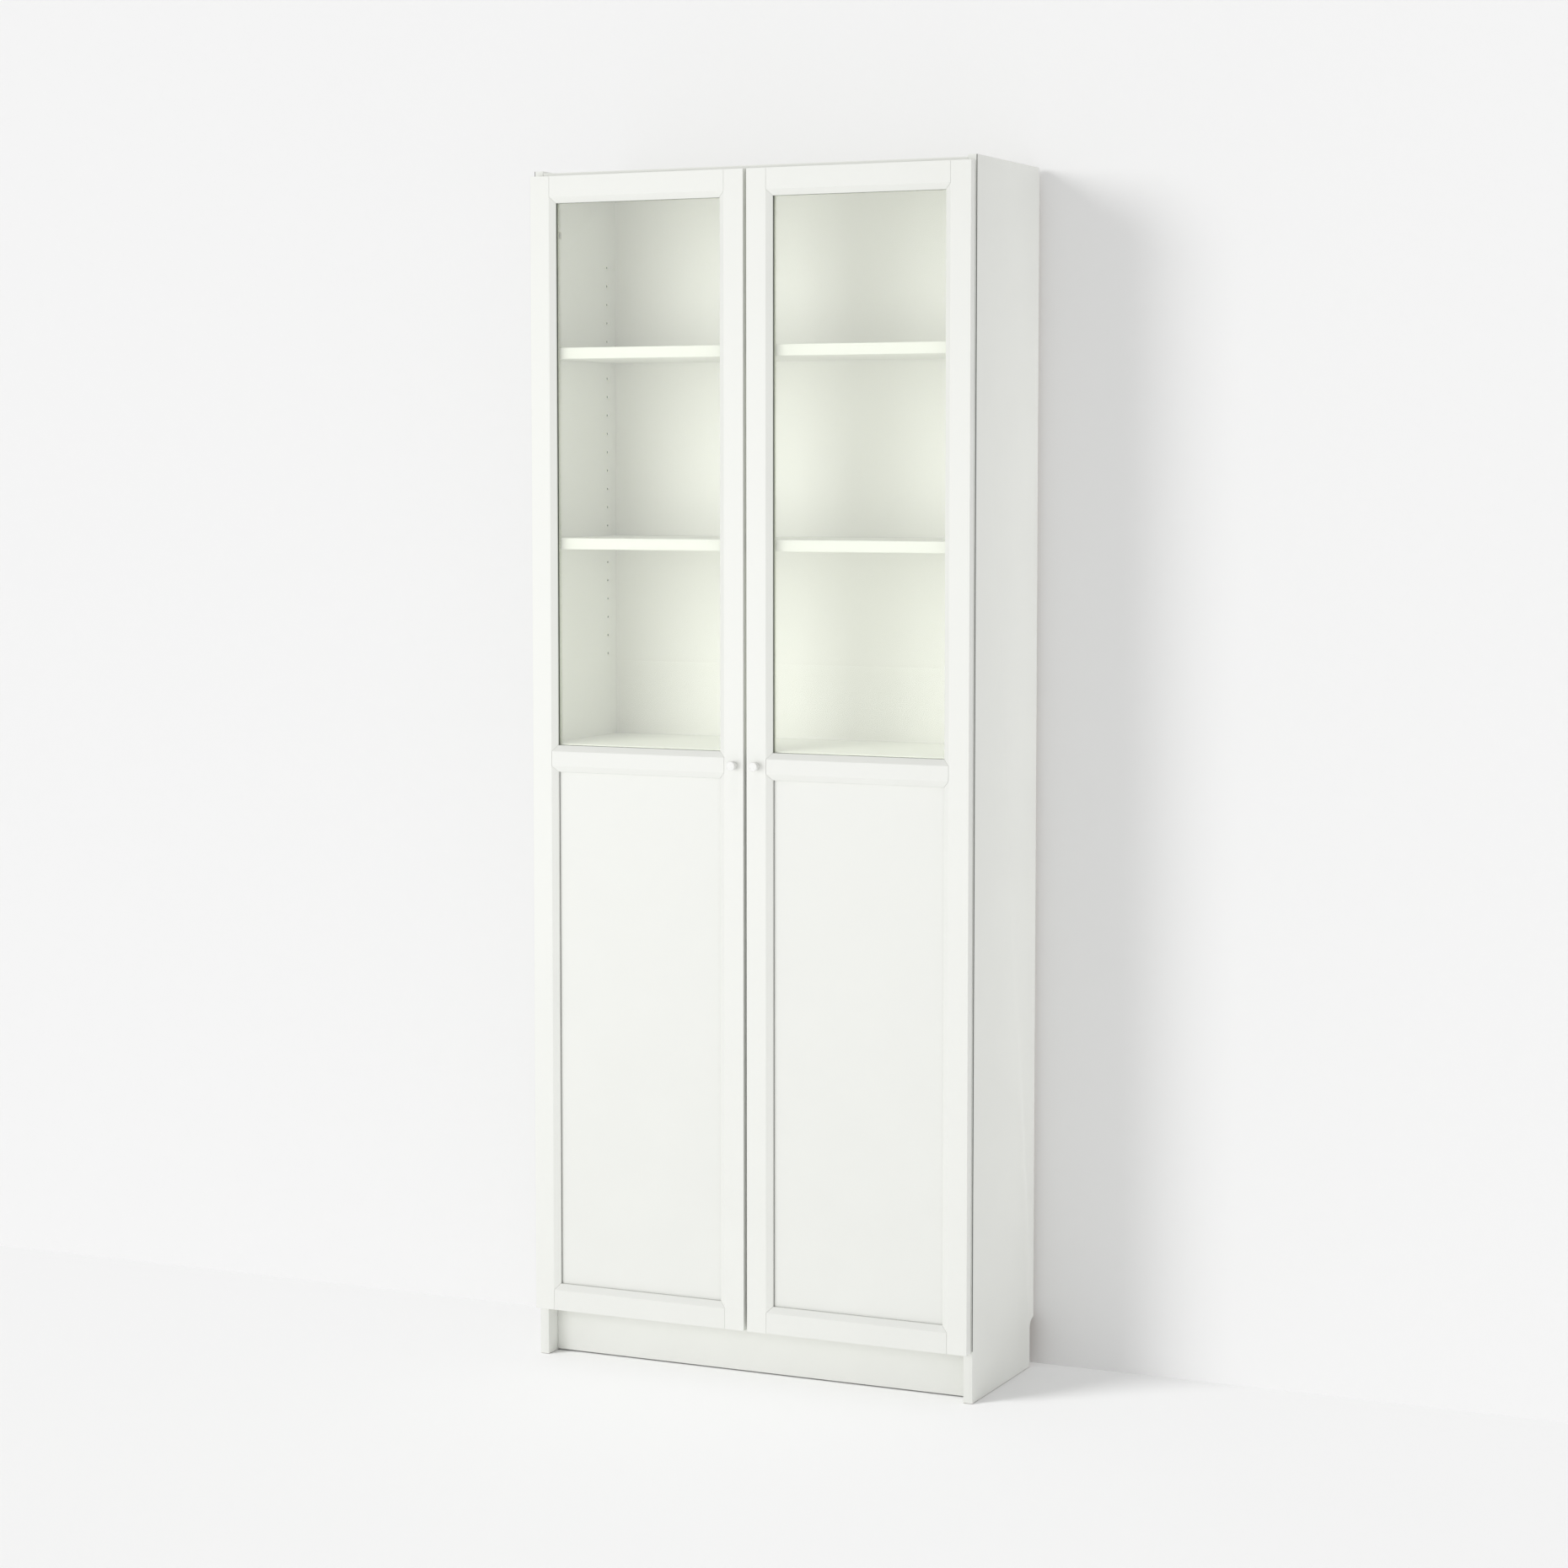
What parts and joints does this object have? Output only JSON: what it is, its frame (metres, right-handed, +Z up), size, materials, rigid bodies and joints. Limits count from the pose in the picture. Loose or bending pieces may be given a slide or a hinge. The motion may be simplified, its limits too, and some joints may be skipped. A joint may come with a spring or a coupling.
{
  "type": "bookcase with doors",
  "caption": "Tall free-standing bookcase with framed double doors, glazed above and panelled below, hung on concealed cup hinges, with small round knobs and adjustable shelves.",
  "frame": {"origin": "under the middle of the bounding box, on the floor", "axes": "+Z up, +X to the right seen from the front, and the doors face -Y"},
  "size_m": [0.8, 0.3144, 2.02],
  "materials": {
    "board": "warm white foil on particleboard, satin",
    "back_board": "white foil on fibreboard, matt",
    "door_frame": "warm white foil on moulded fibreboard, satin",
    "door_panel": "warm white foil on thin fibreboard, satin",
    "glass": "clear tempered glass with a faint green tint",
    "knob": "white powder coat, satin",
    "hinge_steel": "nickel-plated pressed steel",
    "pin_steel": "bright turned steel"
  },
  "bodies": {
    "carcass": {"left_side_panel": "board", "right_side_panel": "board", "top_panel": "board", "fixed_shelf": "board", "bottom_panel": "board", "plinth": "board", "back_panel": "back_board", "upper_shelf_1": "board", "upper_shelf_2": "board", "lower_shelf_1": "board", "lower_shelf_2": "board", "shelf_pin_1_front_left": "pin_steel", "shelf_pin_1_rear_left": "pin_steel", "shelf_pin_1_front_right": "pin_steel", "shelf_pin_1_rear_right": "pin_steel", "shelf_pin_2_front_left": "pin_steel", "shelf_pin_2_rear_left": "pin_steel", "shelf_pin_2_front_right": "pin_steel", "shelf_pin_2_rear_right": "pin_steel", "left_hinge_arm_1": "hinge_steel", "left_hinge_arm_2": "hinge_steel", "left_hinge_arm_3": "hinge_steel", "left_hinge_plate_1": "hinge_steel", "left_hinge_plate_2": "hinge_steel", "left_hinge_plate_3": "hinge_steel", "right_hinge_arm_1": "hinge_steel", "right_hinge_arm_2": "hinge_steel", "right_hinge_arm_3": "hinge_steel", "right_hinge_plate_1": "hinge_steel", "right_hinge_plate_2": "hinge_steel", "right_hinge_plate_3": "hinge_steel"},
    "left_door": {"left_door_hinge_stile": "door_frame", "left_door_inner_stile": "door_frame", "left_door_top_rail": "door_frame", "left_door_middle_rail": "door_frame", "left_door_bottom_rail": "door_frame", "left_door_glass": "glass", "left_door_panel": "door_panel", "left_door_knob": "knob", "left_hinge_cup_1": "hinge_steel", "left_hinge_cup_2": "hinge_steel", "left_hinge_cup_3": "hinge_steel", "left_hinge_pin_1": "pin_steel", "left_hinge_pin_2": "pin_steel", "left_hinge_pin_3": "pin_steel"},
    "right_door": {"right_door_hinge_stile": "door_frame", "right_door_inner_stile": "door_frame", "right_door_top_rail": "door_frame", "right_door_middle_rail": "door_frame", "right_door_bottom_rail": "door_frame", "right_door_glass": "glass", "right_door_panel": "door_panel", "right_door_knob": "knob", "right_hinge_cup_1": "hinge_steel", "right_hinge_cup_2": "hinge_steel", "right_hinge_cup_3": "hinge_steel", "right_hinge_pin_1": "pin_steel", "right_hinge_pin_2": "pin_steel", "right_hinge_pin_3": "pin_steel"}
  },
  "joints": [
    {"name": "left_door_swing", "type": "hinge", "parent": "carcass", "child": "left_door", "pos_m": [-0.3915, -0.13493, 1], "axis": [0, 0, -1], "range_deg": [0, 95]},
    {"name": "right_door_swing", "type": "hinge", "parent": "carcass", "child": "right_door", "pos_m": [0.3915, -0.13493, 1], "axis": [0, 0, 1], "range_deg": [0, 95]}
  ]
}
